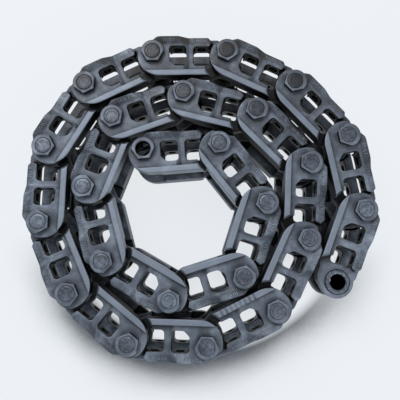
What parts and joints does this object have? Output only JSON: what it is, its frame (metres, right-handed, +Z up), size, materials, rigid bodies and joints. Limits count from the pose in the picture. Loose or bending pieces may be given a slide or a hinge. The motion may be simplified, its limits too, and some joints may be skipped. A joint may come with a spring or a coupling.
{
  "type": "excavator track chain",
  "caption": "Coiled crawler track chain of forged link pairs on sealed pins and bushes, lying on its side, free to unroll.",
  "frame": {"origin": "under the middle of the coil's box, on the ground that the pin ends stand on", "axes": "+Z up along every track pin, +X along the coil's longest side and the rail of link 14, whose shoe seat faces -Y"},
  "size_m": [0.8862, 0.8202, 0.206],
  "materials": {
    "forged_link": "blue-grey primed forging, dull, dirt in its corners",
    "ground_pin": "machined end, worn grey",
    "hardened_bush": "ground and hardened, satin",
    "seal_steel": "dark dust seal"
  },
  "bodies": {
    "link_01": {"upper_link_01": "forged_link", "lower_link_01": "forged_link", "bush_01": "hardened_bush"},
    "link_02": {"link_pair_02": "forged_link", "bush_02": "hardened_bush", "pin_02": "ground_pin", "dust_seals_02": "seal_steel"},
    "link_03": {"link_pair_03": "forged_link", "pin_and_bush_03": "ground_pin"},
    "link_04": {"link_pair_04": "forged_link", "pin_and_bush_04": "ground_pin"},
    "link_05": {"link_pair_05": "forged_link", "pin_and_bush_05": "ground_pin"},
    "link_06": {"link_pair_06": "forged_link", "pin_and_bush_06": "ground_pin"},
    "link_07": {"link_pair_07": "forged_link", "pin_and_bush_07": "ground_pin"},
    "link_08": {"link_pair_08": "forged_link", "pin_and_bush_08": "ground_pin"},
    "link_09": {"link_pair_09": "forged_link", "pin_and_bush_09": "ground_pin"},
    "link_10": {"link_pair_10": "forged_link", "pin_and_bush_10": "ground_pin"},
    "link_11": {"link_pair_11": "forged_link", "pin_and_bush_11": "ground_pin"},
    "link_12": {"link_pair_12": "forged_link", "pin_and_bush_12": "ground_pin"},
    "link_13": {"upper_link_13": "forged_link", "lower_link_13": "forged_link", "bush_13": "hardened_bush", "pin_13": "ground_pin", "dust_seals_13": "seal_steel"},
    "link_14": {"upper_link_14": "forged_link", "lower_link_14": "forged_link", "bush_14": "hardened_bush", "pin_14": "ground_pin", "dust_seals_14": "seal_steel"},
    "link_15": {"link_pair_15": "forged_link", "pin_and_bush_15": "ground_pin"},
    "link_16": {"link_pair_16": "forged_link", "pin_and_bush_16": "ground_pin"},
    "link_17": {"link_pair_17": "forged_link", "pin_and_bush_17": "ground_pin"},
    "link_18": {"link_pair_18": "forged_link", "pin_and_bush_18": "ground_pin"},
    "link_19": {"link_pair_19": "forged_link", "pin_and_bush_19": "ground_pin"},
    "link_20": {"link_pair_20": "forged_link", "pin_and_bush_20": "ground_pin"},
    "link_21": {"link_pair_21": "forged_link", "pin_and_bush_21": "ground_pin"},
    "link_22": {"link_pair_22": "forged_link", "pin_and_bush_22": "ground_pin"},
    "link_23": {"link_pair_23": "forged_link", "pin_and_bush_23": "ground_pin"},
    "link_24": {"upper_link_24": "forged_link", "lower_link_24": "forged_link", "bush_24": "hardened_bush", "pin_24": "ground_pin", "dust_seals_24": "seal_steel"}
  },
  "joints": [
    {"name": "inner_end_swing", "type": "hinge", "parent": "link_02", "child": "link_01", "pos_m": [0.03729, 0.12914, 0.103], "axis": [0, 0, 1], "range_deg": [0, 5]},
    {"name": "track_hinge_02", "type": "hinge", "parent": "link_03", "child": "link_02", "pos_m": [0.15942, -0.01641, 0.103], "axis": [0, 0, -1], "range_deg": [0, 1.25]},
    {"name": "track_hinge_03", "type": "hinge", "parent": "link_04", "child": "link_03", "pos_m": [0.10705, -0.19905, 0.103], "axis": [0, 0, -1], "range_deg": [0, 1.5]},
    {"name": "track_hinge_04", "type": "hinge", "parent": "link_05", "child": "link_04", "pos_m": [-0.07205, -0.26248, 0.103], "axis": [0, 0, -1], "range_deg": [0, 1.75]},
    {"name": "track_hinge_05", "type": "hinge", "parent": "link_06", "child": "link_05", "pos_m": [-0.23981, -0.17328, 0.103], "axis": [0, 0, -1], "range_deg": [0, 2]},
    {"name": "track_hinge_06", "type": "hinge", "parent": "link_07", "child": "link_06", "pos_m": [-0.29536, 0.00842, 0.103], "axis": [0, 0, -1], "range_deg": [0, 2.25]},
    {"name": "track_hinge_07", "type": "hinge", "parent": "link_08", "child": "link_07", "pos_m": [-0.2335, 0.18807, 0.103], "axis": [0, 0, -1], "range_deg": [0, 2.5]},
    {"name": "track_hinge_08", "type": "hinge", "parent": "link_09", "child": "link_08", "pos_m": [-0.05672, 0.25771, 0.103], "axis": [0, 0, -1], "range_deg": [0, 2.75]},
    {"name": "track_hinge_09", "type": "hinge", "parent": "link_10", "child": "link_09", "pos_m": [0.12912, 0.2182, 0.103], "axis": [0, 0, -1], "range_deg": [0, 3]},
    {"name": "track_hinge_10", "type": "hinge", "parent": "link_11", "child": "link_10", "pos_m": [0.26695, 0.08742, 0.103], "axis": [0, 0, -1], "range_deg": [0, 3.25]},
    {"name": "track_hinge_11", "type": "hinge", "parent": "link_12", "child": "link_11", "pos_m": [0.26363, -0.10256, 0.103], "axis": [0, 0, -1], "range_deg": [0, 3.5]},
    {"name": "track_hinge_12", "type": "hinge", "parent": "link_13", "child": "link_12", "pos_m": [0.18939, -0.27745, 0.103], "axis": [0, 0, -1], "range_deg": [0, 3.75]},
    {"name": "track_hinge_13", "type": "hinge", "parent": "link_14", "child": "link_13", "pos_m": [0.02242, -0.36811, 0.103], "axis": [0, 0, -1], "range_deg": [0, 4]},
    {"name": "coil_unroll", "type": "hinge", "parent": "link_14", "child": "link_15", "pos_m": [-0.16758, -0.36811, 0.103], "axis": [0, 0, 1], "range_deg": [0, 10]},
    {"name": "track_hinge_15", "type": "hinge", "parent": "link_15", "child": "link_16", "pos_m": [-0.31933, -0.25377, 0.103], "axis": [0, 0, 1], "range_deg": [0, 12]},
    {"name": "track_hinge_16", "type": "hinge", "parent": "link_16", "child": "link_17", "pos_m": [-0.40112, -0.08228, 0.103], "axis": [0, 0, 1], "range_deg": [0, 14]},
    {"name": "track_hinge_17", "type": "hinge", "parent": "link_17", "child": "link_18", "pos_m": [-0.40112, 0.10772, 0.103], "axis": [0, 0, 1], "range_deg": [0, 16]},
    {"name": "track_hinge_18", "type": "hinge", "parent": "link_18", "child": "link_19", "pos_m": [-0.30756, 0.27309, 0.103], "axis": [0, 0, 1], "range_deg": [0, 18]},
    {"name": "track_hinge_19", "type": "hinge", "parent": "link_19", "child": "link_20", "pos_m": [-0.13903, 0.36082, 0.103], "axis": [0, 0, 1], "range_deg": [0, 20]},
    {"name": "track_hinge_20", "type": "hinge", "parent": "link_20", "child": "link_21", "pos_m": [0.05079, 0.36911, 0.103], "axis": [0, 0, 1], "range_deg": [0, 22]},
    {"name": "track_hinge_21", "type": "hinge", "parent": "link_21", "child": "link_22", "pos_m": [0.22503, 0.29335, 0.103], "axis": [0, 0, 1], "range_deg": [0, 24]},
    {"name": "track_hinge_22", "type": "hinge", "parent": "link_22", "child": "link_23", "pos_m": [0.35938, 0.159, 0.103], "axis": [0, 0, 1], "range_deg": [0, 38]},
    {"name": "outer_end_swing", "type": "hinge", "parent": "link_23", "child": "link_24", "pos_m": [0.40212, -0.02613, 0.103], "axis": [0, 0, 1], "range_deg": [0, 38]}
  ],
  "couplings": [
    {"joint": "track_hinge_02", "follows": "coil_unroll", "ratio": 0.125},
    {"joint": "track_hinge_03", "follows": "coil_unroll", "ratio": 0.15},
    {"joint": "track_hinge_04", "follows": "coil_unroll", "ratio": 0.175},
    {"joint": "track_hinge_05", "follows": "coil_unroll", "ratio": 0.2},
    {"joint": "track_hinge_06", "follows": "coil_unroll", "ratio": 0.225},
    {"joint": "track_hinge_07", "follows": "coil_unroll", "ratio": 0.25},
    {"joint": "track_hinge_08", "follows": "coil_unroll", "ratio": 0.275},
    {"joint": "track_hinge_09", "follows": "coil_unroll", "ratio": 0.3},
    {"joint": "track_hinge_10", "follows": "coil_unroll", "ratio": 0.325},
    {"joint": "track_hinge_11", "follows": "coil_unroll", "ratio": 0.35},
    {"joint": "track_hinge_12", "follows": "coil_unroll", "ratio": 0.375},
    {"joint": "track_hinge_13", "follows": "coil_unroll", "ratio": 0.4},
    {"joint": "track_hinge_15", "follows": "coil_unroll", "ratio": 1.2},
    {"joint": "track_hinge_16", "follows": "coil_unroll", "ratio": 1.4},
    {"joint": "track_hinge_17", "follows": "coil_unroll", "ratio": 1.6},
    {"joint": "track_hinge_18", "follows": "coil_unroll", "ratio": 1.8},
    {"joint": "track_hinge_19", "follows": "coil_unroll", "ratio": 2},
    {"joint": "track_hinge_20", "follows": "coil_unroll", "ratio": 2.2},
    {"joint": "track_hinge_21", "follows": "coil_unroll", "ratio": 2.4}
  ]
}
